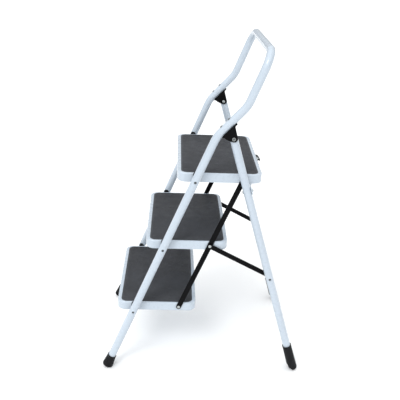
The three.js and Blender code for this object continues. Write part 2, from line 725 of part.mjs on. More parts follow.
// A thumb lever above and a nose that drops behind the upper crossbar below.
function latchLever() {
  const at = (y, z) => point(latchPin.x + y, latchPin.y + z);
  const lever = new THREE.Shape();
  lever.setFromPoints([
    at(-1.5, 3),
    at(1, 4.4),
    at(3.6, 3.6),
    at(10.2, -4.6),
    at(10.6, -7.6),
    at(7.4, -10.4),
    at(3, -6),
    at(-1.5, -3),
  ]);
  const nose = new THREE.Shape();
  nose.setFromPoints([
    at(-3.4, 0),
    at(4.2, -2),
    at(2.6, -15),
    at(-12.8, -26),
    at(-12.8, -38),
    at(-16.4, -40.5),
    at(-17.8, -37),
    at(-17.8, -23),
    at(-6.4, -18.8),
    at(-3.4, -16.6),
  ]);
  const hub = rodAcross(LATCH_HUB, latchPin, -LATCH_HALF_WIDTH, LATCH_HALF_WIDTH, 16);
  const thumb = plate(lever, -LATCH_HALF_WIDTH, LATCH_HALF_WIDTH);
  const hook = plate(nose, -LATCH_NOSE_HALF_WIDTH, LATCH_NOSE_HALF_WIDTH);
  const body = union(hub, thumb, hook);
  return body.subtract(rodAcross(2.3, latchPin, -30, 30, 12));
}

// ---- assembly --------------------------------------------------------------------------------

const steps = new THREE.Group();
const add = (name, body, look) => steps.add(named(name, body, look));

add("front_hoop", frontHoop(), PAINTED);
add("crossbar_upper", upperCrossbar(), PAINTED);
add("crossbar_lower", lowerCrossbar(), PAINTED);

TREADS.forEach((tread, index) => {
  add(`tray_${tread}`, tray(index), PAINTED);
  add(`mat_${tread}`, mat(index), MAT_RUBBER);
});

for (const [side, sign] of SIDES) {
  const x = sign * FRAME_HALF_WIDTH;
  add(`foot_front_${side}`, footCap(frontFloor, frontUp, FRONT_LEAN, FRONT_CAP, x), RUBBER);
  add(`foot_rear_${side}`, footCap(rearFloor, rearUp, REAR_LEAN, REAR_CAP, x), RUBBER);
  add(`rear_leg_${side}`, rearLeg(sign), PAINTED);
  add(`hinge_bracket_${side}`, hingeBracket(sign), BLACK_STEEL);
  add(`hinge_rivet_${side}`, hingeRivet(sign), BLACK_STEEL);
  for (const [place, distance] of bracketRivets) {
    add(`bracket_rivet_${side}_${place}`, bracketRivet(sign, distance), ZINC);
  }
  TREADS.forEach((tread, index) => {
    add(`tread_rivet_${tread}_${side}`, treadRivet(index, sign), ZINC);
    add(`tread_spacer_${tread}_${side}`, treadSpacer(index, sign), PLASTIC);
    add(`link_rivet_${tread}_${side}`, linkRivet(index, sign), ZINC);
  });
  add(`link_${side}`, link(sign), BLACK_STEEL);
  add(`brace_${side}`, brace(sign), BLACK_STEEL);
  add(`brace_head_${side}`, braceHead(sign), ZINC);
  add(`brace_rivet_${side}`, braceRivet(sign), ZINC);
  add(`crossbar_bolt_${side}`, crossbarBolt(sign), ZINC);
}

add("latch_bracket", latchBracket(), BLACK_STEEL);
add("latch_pin", latchPinRod(), ZINC);
add("latch_lever", latchLever(), PLASTIC);

export default steps;
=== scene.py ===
"""Folding household steps: tubes, treads, rubber and fittings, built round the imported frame."""

import json
import math

import bmesh
import bpy
from bpy.props import FloatProperty, FloatVectorProperty, IntProperty, PointerProperty
from mathutils import Matrix, Vector


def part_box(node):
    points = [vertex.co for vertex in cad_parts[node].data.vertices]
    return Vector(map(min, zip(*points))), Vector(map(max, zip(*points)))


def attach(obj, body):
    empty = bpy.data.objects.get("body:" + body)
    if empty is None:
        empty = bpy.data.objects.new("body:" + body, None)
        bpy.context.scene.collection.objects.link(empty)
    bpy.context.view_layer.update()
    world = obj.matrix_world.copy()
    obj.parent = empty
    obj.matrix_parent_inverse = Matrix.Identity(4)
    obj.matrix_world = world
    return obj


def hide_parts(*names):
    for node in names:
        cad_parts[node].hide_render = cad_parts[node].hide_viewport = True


bl_info = {
    "name": "Folding Steps",
    "version": (1, 0, 0),
    "blender": (4, 5, 0),
    "location": "3D View > Sidebar > Steps",
    "description": "Builds the tubes, treads, rubber and fittings of a set of folding steps",
    "category": "Add Mesh",
}

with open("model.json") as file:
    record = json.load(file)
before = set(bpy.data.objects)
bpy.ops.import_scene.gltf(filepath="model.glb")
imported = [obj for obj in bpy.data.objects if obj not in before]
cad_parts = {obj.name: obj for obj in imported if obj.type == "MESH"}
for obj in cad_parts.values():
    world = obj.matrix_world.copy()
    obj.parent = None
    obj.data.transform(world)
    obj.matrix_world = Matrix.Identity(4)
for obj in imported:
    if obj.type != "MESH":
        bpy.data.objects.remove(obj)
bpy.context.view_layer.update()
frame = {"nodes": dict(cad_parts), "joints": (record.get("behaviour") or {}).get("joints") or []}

TREADS = ("lower", "middle", "upper")
SIDES = (("right", 1), ("left", -1))
ACROSS = Vector((1, 0, 0))
MM = 0.001


# ---- places that the frame gives ---------------------------------------------------------------


def in_side_view(place):
    """The place's own height and depth, on the middle plane of the steps."""
    return Vector((0, place[1], place[2]))


JOINT = {joint["name"]: in_side_view(joint["pos_m"]) for joint in frame["joints"]}
TREAD_PIVOT = {tread: JOINT[f"{tread}_step_fold"] for tread in TREADS}
HINGE = JOINT["frame_fold"]
BRACE_FOOT = JOINT["brace_right_turn"]
LINK_OFFSET = JOINT["link_right_turn"] - TREAD_PIVOT["middle"]
FRONT_UP = (TREAD_PIVOT["upper"] - TREAD_PIVOT["lower"]).normalized()
REAR_UP = (HINGE - BRACE_FOOT).normalized()


def on_line(place, direction, height):
    """The point at that height on a line through a place."""
    return place + direction * ((height - place.z) / direction.z)


FRONT_FLOOR = on_line(TREAD_PIVOT["lower"], FRONT_UP, 0)
REAR_FLOOR = on_line(HINGE, REAR_UP, 0)


def square_to(direction):
    """The side-view direction at a right angle, towards the back and downwards."""
    return Vector((0, direction.z, -direction.y))


def centre_of(node):
    low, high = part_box(node)
    return (low + high) / 2


# ---- sizes and colours -------------------------------------------------------------------------


def length(name, description, default):
    return FloatProperty(name=name, description=description, default=default, unit="LENGTH")


def angle(name, description, degrees):
    default = math.radians(degrees)
    return FloatProperty(name=name, description=description, default=default, subtype="ANGLE")


def colour(name, description, default):
    return FloatVectorProperty(
        name=name, description=description, default=default, subtype="COLOR", min=0, max=1
    )


class StepsSizes(bpy.types.PropertyGroup):
    tube_radius: length("Tube Radius", "Outer radius of the frame's tube", 0.0125)
    tube_wall: length("Tube Wall", "Wall of the frame's tube", 0.0012)
    bend_height: length("Bend Height", "Height of the bend above the front legs", 0.836)
    shoulder_lean: angle("Shoulder Lean", "Lean of the short shoulder from upright", 42.1)
    shoulder_length: length("Shoulder Length", "Corner to corner along the shoulder", 0.127)
    rail_lean: angle("Rail Lean", "Lean of the hand rail's uprights", 20.8)
    rail_length: length("Rail Length", "Upper bend to the corner of the hand rail", 0.165)
    leg_bend: length("Leg Bend", "Bend radius at both ends of the shoulder", 0.09)
    rail_bend: length("Rail Bend", "Bend radius at the corners of the hand rail", 0.055)
    tread_corner: length("Tread Corner", "Corner radius of a tread in plan", 0.027)
    rim_side: length("Side Rim", "Width of the tray's rim beside the mat", 0.0065)
    rim_end: length("End Rim", "Width of the tray's rim before and behind the mat", 0.0116)
    mat_corner: length("Mat Corner", "Corner radius of the tray's well for the mat", 0.02)
    rib_pitch: length("Rib Pitch", "From one fine rib of the mat to the next", 0.0021)
    bar_radius: length("Crossbar Radius", "Radius of the round part of a crossbar", 0.011)
    flutes: IntProperty(name="Flutes", description="Grooves round a front foot", default=16, min=3)


class StepsColours(bpy.types.PropertyGroup):
    paint: colour("Paint", "Powder coat on the tubes and trays", (0.47, 0.535, 0.605))
    mat: colour("Mat", "Rubber of the tread mats", (0.040, 0.042, 0.048))
    black: colour("Black Steel", "Coat on links, braces and brackets", (0.003, 0.003, 0.0034))
    rubber: colour("Foot Rubber", "Rubber of the feet", (0.006, 0.006, 0.007))
    plastic: colour("Plastic", "Bushes and latch lever", (0.005, 0.005, 0.0055))
    zinc: colour("Zinc", "Plated rivets and bolts", (0.50, 0.53, 0.53))
    floor: colour("Floor", "Studio floor", (0.93, 0.93, 0.93))


class StepsCamera(bpy.types.PropertyGroup):
    place: FloatVectorProperty(
        name="Place",
        description="Where the camera stands",
        default=(1.8990, -0.1146, 1.3597),
        subtype="TRANSLATION",
    )
    turn: angle("Turn", "Swing away from looking straight across the steps", -2.56)
    dip: angle("Dip", "How far it looks down", 23.42)
    roll: angle("Roll", "Turn about its own line of sight", 2.62)
    lens: FloatProperty(name="Lens", description="Focal length in mm", default=53.81, min=1)
    slide: FloatProperty(name="Slide", description="Sideways shift", default=0.0085)


def sizes():
    return bpy.context.scene.steps_sizes


def colours():
    return bpy.context.scene.steps_colours


# ---- mesh helpers ------------------------------------------------------------------------------


def added(name, mesh):
    piece = bpy.data.objects.new(name, mesh)
    bpy.context.scene.collection.objects.link(piece)
    return piece


def mark_edges(mesh, sharp_angle=38):
    """Smooth faces, with every corner sharper than the angle left crisp."""
    work = bmesh.new()
    work.from_mesh(mesh)
    limit = math.radians(sharp_angle)
    for face in work.faces:
        face.smooth = True
    for edge in work.edges:
        edge.smooth = len(edge.link_faces) == 2 and edge.calc_face_angle(0) < limit
    work.to_mesh(mesh)
    work.free()


def solid_piece(name, vertices, faces, sharp_angle=38):
    """A closed mesh whose faces point outwards."""
    mesh = bpy.data.meshes.new(name)
    mesh.from_pydata([tuple(v) for v in vertices], [], faces)
    work = bmesh.new()
    work.from_mesh(mesh)
    bmesh.ops.remove_doubles(work, verts=work.verts, dist=1e-7)
    bmesh.ops.recalc_face_normals(work, faces=work.faces)
    if work.calc_volume(signed=True) < 0:
        bmesh.ops.reverse_faces(work, faces=work.faces)
    work.to_mesh(mesh)
    work.free()
    mark_edges(mesh, sharp_angle)
    return added(name, mesh)


def skinned(rings):
    """Vertices and faces of a skin over rings of equal count, with both ends filled."""
    count = len(rings[0])
    vertices = [v for ring in rings for v in ring]
    faces = []
    for row in range(len(rings) - 1):
        here, there = row * count, (row + 1) * count
        for i in range(count):
            j = (i + 1) % count
            faces.append((here + i, here + j, there + j, there + i))
    faces.append(tuple(range(count))[::-1])
    faces.append(tuple(range(len(vertices) - count, len(vertices))))
    return vertices, faces


def turned(profile, steps=32):
    """Rings of a turned shape about Z: profile of (radius, height), with a tiny ring at a pole."""
    rings = []
    for radius, height in profile:
        radius = max(radius, 1e-5)
        ring = [2 * math.pi * k / steps for k in range(steps)]
        rings.append([Vector((radius * math.cos(a), radius * math.sin(a), height)) for a in ring])
    return rings


def settled(piece):
    """The piece with its modifiers applied."""
    bpy.context.view_layer.update()
    graph = bpy.context.evaluated_depsgraph_get()
    mesh = bpy.data.meshes.new_from_object(piece.evaluated_get(graph))
    piece.modifiers.clear()
    piece.data = mesh
    mesh.name = piece.name
    return piece


def cut_by(piece, tool):
    """The piece less the tool's shape. The tool is used up."""
    modifier = piece.modifiers.new("cut", "BOOLEAN")
    modifier.operation = "DIFFERENCE"
    modifier.solver = "EXACT"
    modifier.object = tool
    settled(piece)
    bpy.data.objects.remove(tool)
    mark_edges(piece.data)
    return piece


def from_frame(node, name, rounding):
    """A merged copy of a node of the frame, with its edges rounded off."""
    mesh = frame["nodes"][node].data.copy()
    mesh.materials.clear()
    work = bmesh.new()
    work.from_mesh(mesh)
    bmesh.ops.remove_doubles(work, verts=work.verts, dist=2e-6)
    flat = math.radians(0.6)
    bmesh.ops.dissolve_limit(work, angle_limit=flat, verts=work.verts, edges=work.edges)
    work.to_mesh(mesh)
    work.free()
    piece = added(name, mesh)
    modifier = piece.modifiers.new("rounding", "BEVEL")
    modifier.width = rounding
    modifier.segments = 2
    modifier.limit_method = "ANGLE"
    modifier.angle_limit = math.radians(35)
    settled(piece)
    mark_edges(piece.data, 50)
    return piece


def finished(piece, material, slot, body, *nodes):
    """Gives the piece its finish and its body, and hides the nodes that it stands for."""
    piece.data.materials.clear()
    piece.data.materials.append(material)
    for face in piece.data.polygons:
        face.material_index = 0
    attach(piece, body)
    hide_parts(*nodes)
    return piece


# ---- node trees --------------------------------------------------------------------------------


class Tree:
    """A node tree with the few calls that the trees below need."""

    def __init__(self, nodes_and_links):
        self.tree = nodes_and_links

    def node(self, kind, settings=None, **inputs):
        made = self.tree.nodes.new(kind)
        for name, value in (settings or {}).items():
            setattr(made, name, value)
        for name, value in inputs.items():
            self.feed(made, name.replace("_", " "), value)
        return made

    def feed(self, node, name, value):
        socket = node.inputs[int(name)] if name.isdigit() else node.inputs[name]
        if isinstance(value, bpy.types.NodeSocket):
            self.tree.links.new(value, socket)
        else:
            socket.default_value = value

    def math(self, operation, *values):
        made = self.tree.nodes.new("ShaderNodeMath")
        made.operation = operation
        for index, value in enumerate(values):
            self.feed(made, str(index), value)
        return made.outputs[0]


def shape_tree(name, inputs):
    """A geometry tree with a geometry input and output, and these named inputs."""
    group = bpy.data.node_groups.new(name, "GeometryNodeTree")
    face = group.interface
    face.new_socket("Geometry", in_out="INPUT", socket_type="NodeSocketGeometry")
    for label, kind in inputs:
        face.new_socket(label, in_out="INPUT", socket_type=f"NodeSocket{kind}")
    face.new_socket("Geometry", in_out="OUTPUT", socket_type="NodeSocketGeometry")
    tree = Tree(group)
    return tree, tree.node("NodeGroupInput").outputs


def end_tree(tree, geometry, material):
    smooth = tree.node("GeometryNodeSetShadeSmooth", Geometry=geometry)
    real = tree.node("GeometryNodeRealizeInstances", Geometry=smooth.outputs[0])
    painted = tree.node("GeometryNodeSetMaterial", Geometry=real.outputs[0], Material=material)
    out = tree.node("NodeGroupOutput")
    tree.tree.links.new(painted.outputs[0], out.inputs[0])


def shaped_by(group, name, mesh, values):
    """A new piece: the mesh put through a geometry tree with these input values."""
    piece = added(name, mesh)
    modifier = piece.modifiers.new("shape", "NODES")
    modifier.node_group = group
    for item in group.interface.items_tree:
        if item.in_out == "INPUT" and item.name in values:
            modifier[item.identifier] = values[item.name]
    return settled(piece)


def tube_tree():
    """A round skin along a line of points."""
    inputs = [("Radius", "Float"), ("Sides", "Int"), ("Material", "Material")]
    tree, given = shape_tree("tube_along_line", inputs)
    line = tree.node("GeometryNodeMeshToCurve", Mesh=given["Geometry"])
    ring = tree.node(
        "GeometryNodeCurvePrimitiveCircle", Resolution=given["Sides"], Radius=given["Radius"]
    )
    skin = tree.node("GeometryNodeCurveToMesh", Curve=line.outputs[0])
    tree.feed(skin, "Profile Curve", ring.outputs["Curve"])
    end_tree(tree, skin.outputs[0], given["Material"])
    return tree.tree


def rivet_tree():
    """One fastener at every point, turned to the point's own aim."""
    inputs = [("Fastener", "Object"), ("Material", "Material")]
    tree, given = shape_tree("fasteners_on_points", inputs)
    part = tree.node("GeometryNodeObjectInfo", Object=given["Fastener"])
    aim = tree.node("GeometryNodeInputNamedAttribute", {"data_type": "FLOAT_VECTOR"}, Name="aim")
    turn = tree.node("FunctionNodeAlignRotationToVector", {"axis": "Z"}, Vector=aim.outputs[0])
    placed = tree.node("GeometryNodeInstanceOnPoints", Points=given["Geometry"])
    tree.feed(placed, "Instance", part.outputs["Geometry"])
    tree.feed(placed, "Rotation", turn.outputs[0])
    end_tree(tree, placed.outputs[0], given["Material"])
    return tree.tree


def rib_tree():
    """Fine ribs across a mat, each as long as the mat's round corners leave room for."""
    names = ("Half Width", "Half Depth", "Corner", "Pitch", "Height")
    inputs = [(name, "Float") for name in names]
    inputs += [("Centre", "Vector"), ("Material", "Material")]
    tree, given = shape_tree("mat_ribs", inputs)
    depth = tree.math("MULTIPLY", given["Half Depth"], 2.0)
    count = tree.math("FLOOR", tree.math("DIVIDE", depth, given["Pitch"]))
    spread = tree.math("MULTIPLY", tree.math("SUBTRACT", count, 1.0), given["Pitch"])
    first = tree.node("ShaderNodeCombineXYZ", Y=tree.math("MULTIPLY", spread, -0.5))
    step = tree.node("ShaderNodeCombineXYZ", Y=given["Pitch"])
    row = tree.node("GeometryNodeMeshLine", Count=count)
    tree.feed(row, "Start Location", first.outputs[0])
    tree.feed(row, "Offset", step.outputs[0])
    place = tree.node("ShaderNodeSeparateXYZ", Vector=tree.node("GeometryNodeInputPosition").outputs[0])
    flat = tree.math("SUBTRACT", given["Half Depth"], given["Corner"])
    past = tree.math("MAXIMUM", tree.math("SUBTRACT", tree.math("ABSOLUTE", place.outputs["Y"]), flat), 0.0)
    square = tree.math("SUBTRACT", tree.math("POWER", given["Corner"], 2.0), tree.math("POWER", past, 2.0))
    bulge = tree.math("SQRT", tree.math("MAXIMUM", square, 0.0))
    straight = tree.math("SUBTRACT", given["Half Width"], given["Corner"])
    reach = tree.math("ADD", straight, bulge)
    half_pitch = tree.math("MULTIPLY", given["Pitch"], 0.36)
    scale = tree.node("ShaderNodeCombineXYZ", X=given["Height"], Y=half_pitch, Z=reach)
    rod = tree.node("GeometryNodeMeshCylinder", Vertices=8, Radius=1.0, Depth=2.0)
    placed = tree.node("GeometryNodeInstanceOnPoints", Points=row.outputs[0], Scale=scale.outputs[0])
    tree.feed(placed, "Instance", rod.outputs["Mesh"])
    tree.feed(placed, "Rotation", (0.0, math.pi / 2, 0.0))
    moved = tree.node("GeometryNodeTransform", Geometry=placed.outputs[0], Translation=given["Centre"])
    both = tree.node("GeometryNodeJoinGeometry")
    tree.tree.links.new(moved.outputs[0], both.inputs[0])
    tree.tree.links.new(given["Geometry"], both.inputs[0])
    end_tree(tree, both.outputs[0], given["Material"])
    return tree.tree


def stud_tree():
    """Low oval studs on a grid over a mat."""
    inputs = [(name, "Float") for name in ("Grid Width", "Grid Depth")]
    inputs += [("Across", "Int"), ("Along", "Int"), ("Stud", "Vector"), ("Centre", "Vector")]
    inputs += [("Material", "Material")]
    tree, given = shape_tree("mat_studs", inputs)
    grid = tree.node("GeometryNodeMeshGrid")
    sources = ("Grid Width", "Grid Depth", "Across", "Along")
    for index, name in enumerate(sources):
        tree.feed(grid, str(index), given[name])
    ball = tree.node("GeometryNodeMeshUVSphere", Segments=14, Rings=8, Radius=1.0)
    placed = tree.node("GeometryNodeInstanceOnPoints", Points=grid.outputs[0], Scale=given["Stud"])
    tree.feed(placed, "Instance", ball.outputs["Mesh"])
    moved = tree.node("GeometryNodeTransform", Geometry=placed.outputs[0], Translation=given["Centre"])
    both = tree.node("GeometryNodeJoinGeometry")
    tree.tree.links.new(moved.outputs[0], both.inputs[0])
    tree.tree.links.new(given["Geometry"], both.inputs[0])
    end_tree(tree, both.outputs[0], given["Material"])
    return tree.tree


# ---- finishes ----------------------------------------------------------------------------------


def finish_tree(name, **shader_values):
    """A new material's tree, its shader with constants set, and its own coordinates."""
    material = bpy.data.materials.new(name)
    material.use_nodes = True
    tree = Tree(material.node_tree)
    shader = material.node_tree.nodes["Principled BSDF"]
    for socket, value in shader_values.items():
        shader.inputs[socket.replace("_", " ")].default_value = value
    place = tree.node("ShaderNodeTexCoord").outputs["Object"]
    return material, tree, shader, place


def noise(tree, place, scale, detail=3.0, roughness=0.55):
    made = tree.node("ShaderNodeTexNoise", Vector=place, Scale=scale, Detail=detail, Roughness=roughness)
    return made.outputs["Fac"]


def shade(tree, factor, low, high, start=0.3, end=0.7):
    """A colour between two tints."""
    ramp = tree.node("ShaderNodeValToRGB", Fac=factor)
    ends = ramp.color_ramp.elements
    ends[0].position, ends[1].position = start, end
    ends[0].color, ends[1].color = (*low, 1), (*high, 1)
    return ramp.outputs["Color"]


def between(tree, factor, low, high, start=0.3, end=0.7):
    """A number between two values."""
    made = tree.node("ShaderNodeMapRange")
    for index, value in enumerate((factor, start, end, low, high)):
        tree.feed(made, str(index), value)
    return made.outputs[0]


def bumped(tree, shader, layers):
    """Lays one bump over another: (height, distance, strength)."""
    normal = None
    for height, distance, strength in layers:
        bump = tree.node("ShaderNodeBump", Height=height, Distance=distance, Strength=strength)
        if normal is not None:
            tree.feed(bump, "Normal", normal)
        normal = bump.outputs["Normal"]
    tree.feed(shader, "Normal", normal)


def tinted(base, factor):
    return tuple(min(1.0, channel * factor) for channel in base)


def powder_coat():
    material, tree, shader, place = finish_tree(
        "powder_coat", Coat_Weight=0.7, Coat_Roughness=0.12, Coat_IOR=1.5, Specular_IOR_Level=0.4
    )
    base = colours().paint
    drift = noise(tree, place, 5.0, 2.0)
    tree.feed(shader, "Base Color", shade(tree, drift, tinted(base, 0.985), tinted(base, 1.01)))
    tree.feed(shader, "Roughness", between(tree, noise(tree, place, 90.0), 0.24, 0.34))
    peel = noise(tree, place, 420.0, 2.0, 0.4)
    dust = noise(tree, place, 2600.0, 1.0, 0.4)
    bumped(tree, shader, [(peel, 0.00003, 0.1), (dust, 0.00001, 0.05)])
    return material


def mat_rubber():
    material, tree, shader, place = finish_tree("mat_rubber", Specular_IOR_Level=0.36)
    base = colours().mat
    wear = noise(tree, place, 11.0, 5.0, 0.6)
    tree.feed(shader, "Base Color", shade(tree, wear, tinted(base, 0.86), tinted(base, 1.16), 0.32, 0.68))
    tree.feed(shader, "Roughness", between(tree, noise(tree, place, 34.0, 4.0), 0.5, 0.66))
    grain = tree.node("ShaderNodeTexVoronoi", Vector=place, Scale=1300.0).outputs["Distance"]
    skin = noise(tree, place, 700.0, 3.0)
    bumped(tree, shader, [(skin, 0.00012, 0.5), (grain, 0.00006, 0.4)])
    return material


def foot_rubber():
    material, tree, shader, place = finish_tree("foot_rubber", Specular_IOR_Level=0.12)
    base = colours().rubber
    scuff = noise(tree, place, 60.0, 5.0, 0.62)
    tree.feed(shader, "Base Color", shade(tree, scuff, base, tinted(base, 2.2), 0.42, 0.75))
    tree.feed(shader, "Roughness", between(tree, noise(tree, place, 150.0, 4.0), 0.38, 0.58))
    grain = noise(tree, place, 1500.0, 3.0)
    bumped(tree, shader, [(grain, 0.00008, 0.45)])
    return material


def black_steel():
    material, tree, shader, place = finish_tree("black_coat", Specular_IOR_Level=0.06)
    base = colours().black
    drift = noise(tree, place, 24.0, 3.0)
    tree.feed(shader, "Base Color", shade(tree, drift, tinted(base, 0.8), tinted(base, 1.6)))
    tree.feed(shader, "Roughness", between(tree, noise(tree, place, 120.0), 0.36, 0.5))
    peel = noise(tree, place, 900.0, 2.0)
    bumped(tree, shader, [(peel, 0.00006, 0.4)])
    return material


def black_plastic():
    material, tree, shader, place = finish_tree("black_plastic", Specular_IOR_Level=0.12)
    base = colours().plastic
    drift = noise(tree, place, 40.0, 2.0)
    tree.feed(shader, "Base Color", shade(tree, drift, base, tinted(base, 1.5)))
    tree.feed(shader, "Roughness", between(tree, noise(tree, place, 200.0), 0.4, 0.55))
    grain = tree.node("ShaderNodeTexVoronoi", Vector=place, Scale=2200.0).outputs["Distance"]
    bumped(tree, shader, [(grain, 0.00004, 0.5)])
    return material


def plated(name, base):
    material, tree, shader, place = finish_tree(name, Metallic=1.0)
    bloom = noise(tree, place, 320.0, 4.0, 0.6)
    tree.feed(shader, "Base Color", shade(tree, bloom, tinted(base, 0.8), tinted(base, 1.1)))
    tree.feed(shader, "Roughness", between(tree, noise(tree, place, 700.0), 0.3, 0.46))
    marks = noise(tree, place, 1800.0, 2.0)
    bumped(tree, shader, [(marks, 0.00003, 0.4)])
    return material


def studio_floor():
    material, tree, shader, place = finish_tree("studio_floor", Specular_IOR_Level=0.1)
    base = colours().floor
    drift = noise(tree, place, 0.6, 2.0)
    tree.feed(shader, "Base Color", shade(tree, drift, tinted(base, 0.99), tinted(base, 1.01)))
    tree.feed(shader, "Roughness", between(tree, noise(tree, place, 4.0), 0.75, 0.85))
    return material


FINISH = {}
SHARED = {}


def finish(name):
    """The finish of that name, made the first time it is asked for."""
    if name not in FINISH:
        makers = {
            "painted_frame": powder_coat,
            "mat_rubber": mat_rubber,
            "foot_rubber": foot_rubber,
            "black_steel": black_steel,
            "black_plastic": black_plastic,
            "zinc": lambda: plated("zinc_plate", colours().zinc),
            "dull_zinc": lambda: plated("dull_plate", tinted(colours().zinc, 0.55)),
            # Zinc darkened to a quarter: painted shade for the rivets sunk in the tubes' recesses
            "recess_shade_zinc": lambda: plated("dark_plate", tinted(colours().zinc, 0.25)),
            "floor": studio_floor,
        }
        FINISH[name] = makers[name]()
    return FINISH[name]


def shared_tree(maker):
    """A geometry tree, built once."""
    if maker.__name__ not in SHARED:
        SHARED[maker.__name__] = maker()
    return SHARED[maker.__name__]


# ---- tubes -------------------------------------------------------------------------------------

TUBE_SIDES = 48
RECESS_SEAT = 9.4 * MM  # a leg's axis to the floor of a sunk rivet's recess
RECESS_RADIUS = 4.2 * MM
LEG_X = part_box("front_hoop")[1].x - 12.5 * MM  # the axis of a leg


def bent_line(corners, radii, stops=()):
    """Points along straight lengths joined by arcs, with extra stops on the straight lengths."""
    line = [corners[0]]
    for before, corner, after, radius in zip(corners, corners[1:], corners[2:], radii):
        incoming = (corner - before).normalized()
        outgoing = (after - corner).normalized()
        turn = incoming.angle(outgoing)
        axis = incoming.cross(outgoing).normalized()
        inward = axis.cross(incoming)
        start = corner - incoming * (radius * math.tan(turn / 2))
        centre = start + inward * radius
        count = max(4, math.ceil(math.degrees(turn) / 3.5))
        for k in range(count + 1):
            spoke = Matrix.Rotation(turn * k / count, 3, axis) @ (-inward)
            line.append(centre + spoke * radius)
    line.append(corners[-1])
    return with_stops(line, stops)


def with_stops(line, stops):
    """The line with each stop added to the span that it lies on."""
    whole = [line[0]]
    for start, end in zip(line, line[1:]):
        run = end - start
        inside = []
        for stop in stops:
            share = (stop - start).dot(run) / run.length_squared
            if 0.001 < share < 0.999 and (start + run * share - stop).length < 1e-4:
                inside.append((share, stop))
        whole += [stop for _, stop in sorted(inside, key=lambda pair: pair[0])]
        whole.append(end)
    return whole


def tube(name, line, radius):
    """A hollow tube with open ends, along a line of points."""
    mesh = bpy.data.meshes.new(name)
    mesh.from_pydata([tuple(p) for p in line], [(i, i + 1) for i in range(len(line) - 1)], [])
    values = {"Radius": radius, "Sides": TUBE_SIDES, "Material": finish("painted_frame")}
    piece = shaped_by(shared_tree(tube_tree), name, mesh, values)
    first = piece.data.polygons[0]
    nearest = min(line, key=lambda p: (p - first.center).length)
    if first.normal.dot(first.center - nearest) < 0:
        piece.data.flip_normals()
    modifier = piece.modifiers.new("wall", "SOLIDIFY")
    modifier.thickness = sizes().tube_wall
    modifier.offset = -1
    settled(piece)
    mark_edges(piece.data)
    return piece


def aimed(rings, place, direction):
    """Turned rings moved to a place, with their own Z along a direction."""
    turn = Vector((0, 0, 1)).rotation_difference(direction).to_matrix()
    return [[turn @ v + place for v in ring] for ring in rings]


def recess_tool(places):
    """Cutters for the recesses, each sunk from outside towards the middle of the steps."""
    vertices, faces = [], []
    for place, sign in places:
        profile = [(0, RECESS_SEAT), (RECESS_RADIUS, RECESS_SEAT), (RECESS_RADIUS, 20 * MM), (0, 20 * MM)]
        rings = aimed(turned(profile, 32), place + ACROSS * sign * LEG_X, ACROSS * sign)
        some, more = skinned(rings)
        faces += [tuple(i + len(vertices) for i in face) for face in more]
        vertices += some
    return solid_piece("recess_tool", vertices, faces)


def around(place, direction, reach=9 * MM):
    """Stops on either side of a recess, which keep the tube's shading true beside it."""
    return [place + direction * reach, place - direction * reach]


def hoop_corners():
    given = sizes()
    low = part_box("front_hoop")[0].z
    start_along = (low + given.tube_radius * FRONT_UP.y) / FRONT_UP.z
    bend = on_line(FRONT_FLOOR, FRONT_UP, given.bend_height)
    lean = given.shoulder_lean
    upper = bend + Vector((0, math.sin(lean), math.cos(lean))) * given.shoulder_length
    lean = given.rail_lean
    top = upper + Vector((0, math.sin(lean), math.cos(lean))) * given.rail_length
    return [FRONT_FLOOR + FRONT_UP * start_along, bend, upper, top]


class STEPS_OT_front_hoop(bpy.types.Operator):
    """One bent tube: front legs, shoulders and hand rail"""

    bl_idname = "steps.front_hoop"
    bl_label = "Front Hoop"

    def execute(self, context):
        given = sizes()
        corners = hoop_corners()
        right = [p + ACROSS * LEG_X for p in corners]
        left = [p - ACROSS * LEG_X for p in reversed(corners)]
        bends = [given.leg_bend, given.leg_bend, given.rail_bend]
        stops = []
        for _, sign in SIDES:
            for pivot in TREAD_PIVOT.values():
                stops += around(pivot + ACROSS * sign * LEG_X, FRONT_UP)
        line = bent_line(right + left, bends + bends[::-1], stops)
        hoop = tube("front_hoop_tube", line, given.tube_radius)
        places = [(pivot, sign) for pivot in TREAD_PIVOT.values() for _, sign in SIDES]
        cut_by(hoop, recess_tool(places))
        finished(hoop, finish("painted_frame"), "painted_frame", "front_frame", "front_hoop")
        return {"FINISHED"}


class STEPS_OT_rear_legs(bpy.types.Operator):
    """The two straight legs that swing on the main hinge"""

    bl_idname = "steps.rear_legs"
    bl_label = "Rear Legs"

    def execute(self, context):
        radius = sizes().tube_radius
        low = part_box("rear_leg_right")[0].z
        start = REAR_FLOOR + REAR_UP * ((low - radius * REAR_UP.y) / REAR_UP.z)
        for side, sign in SIDES:
            shift = ACROSS * sign * LEG_X
            top = HINGE + REAR_UP * 11 * MM
            line = with_stops([start + shift, top + shift], around(BRACE_FOOT + shift, REAR_UP))
            leg = tube(f"rear_leg_{side}_tube", line, radius)
            cut_by(leg, recess_tool([(BRACE_FOOT, sign)]))
            node = f"rear_leg_{side}"
            finished(leg, finish("painted_frame"), "painted_frame", "rear_frame", node)
        return {"FINISHED"}


# ---- crossbars ---------------------------------------------------------------------------------


def oval(centre, half_up, half_out, squareness, steps=40):
    """One section of the upper crossbar: round at 2, and flatter-sided as the power grows."""
    out = rear_out()
    ring = []
    for k in range(steps):
        turn = 2 * math.pi * k / steps
        c, s = math.cos(turn), math.sin(turn)
        a = math.copysign(abs(c) ** (2 / squareness), c) * half_up
        b = math.copysign(abs(s) ** (2 / squareness), s) * half_out
        ring.append(centre + REAR_UP * a + out * b)
    return ring


def eased(value):
    value = min(1.0, max(0.0, value))
    return value * value * (3 - 2 * value)


